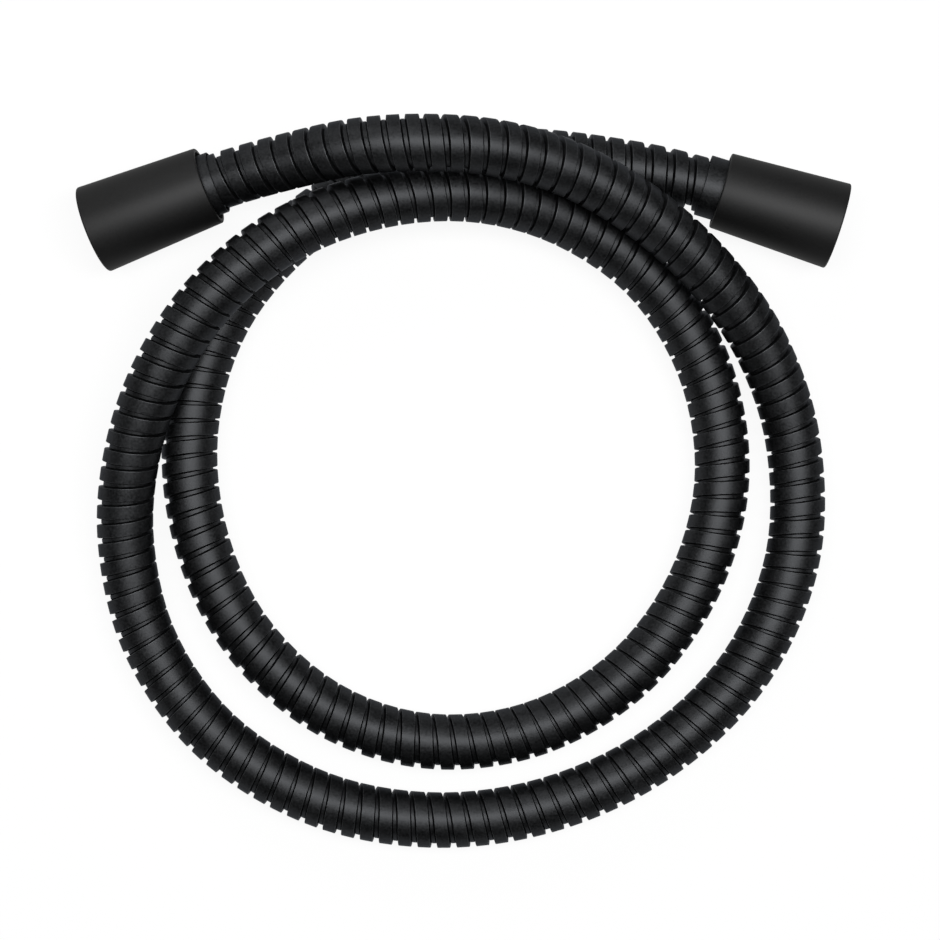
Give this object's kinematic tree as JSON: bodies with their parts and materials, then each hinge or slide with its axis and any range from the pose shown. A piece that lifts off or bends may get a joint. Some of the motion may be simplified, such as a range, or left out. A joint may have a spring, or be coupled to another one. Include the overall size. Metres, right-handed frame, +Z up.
{
  "type": "shower hose",
  "caption": "Satin black strip-wound metal shower hose lying in two loops, with a smooth conical union nut on each end.",
  "frame": {"origin": "centre of the bounding box on the floor the hose lies on", "axes": "+X from nut a to nut b across the loops, +Y from the far side of the loops towards the nuts, +Z up"},
  "size_m": [0.2101, 0.1968, 0.0393],
  "materials": {
    "casing_black": "satin black coating",
    "nut_black": "satin black coating",
    "tube_rubber": "matt",
    "washer_rubber": "matt",
    "insert_brass": "turned"
  },
  "bodies": {
    "hose": {"casing": "casing_black", "inner_tube": "tube_rubber", "insert_a": "insert_brass", "insert_b": "insert_brass", "ferrule_a": "casing_black", "ferrule_b": "casing_black", "washer_a": "washer_rubber", "washer_b": "washer_rubber"},
    "nut_a": {"nut_a": "nut_black"},
    "nut_b": {"nut_b": "nut_black"}
  },
  "joints": [
    {"name": "nut_a_spin", "type": "hinge", "parent": "hose", "child": "nut_a", "pos_m": [-0.10055, 0.06931, 0.01178], "axis": [0.9256, 0.3446, 0.1563], "continuous": true},
    {"name": "nut_b_spin", "type": "hinge", "parent": "hose", "child": "nut_b", "pos_m": [0.10165, 0.07146, 0.01327], "axis": [-0.952, 0.2943, -0.0835], "continuous": true}
  ]
}
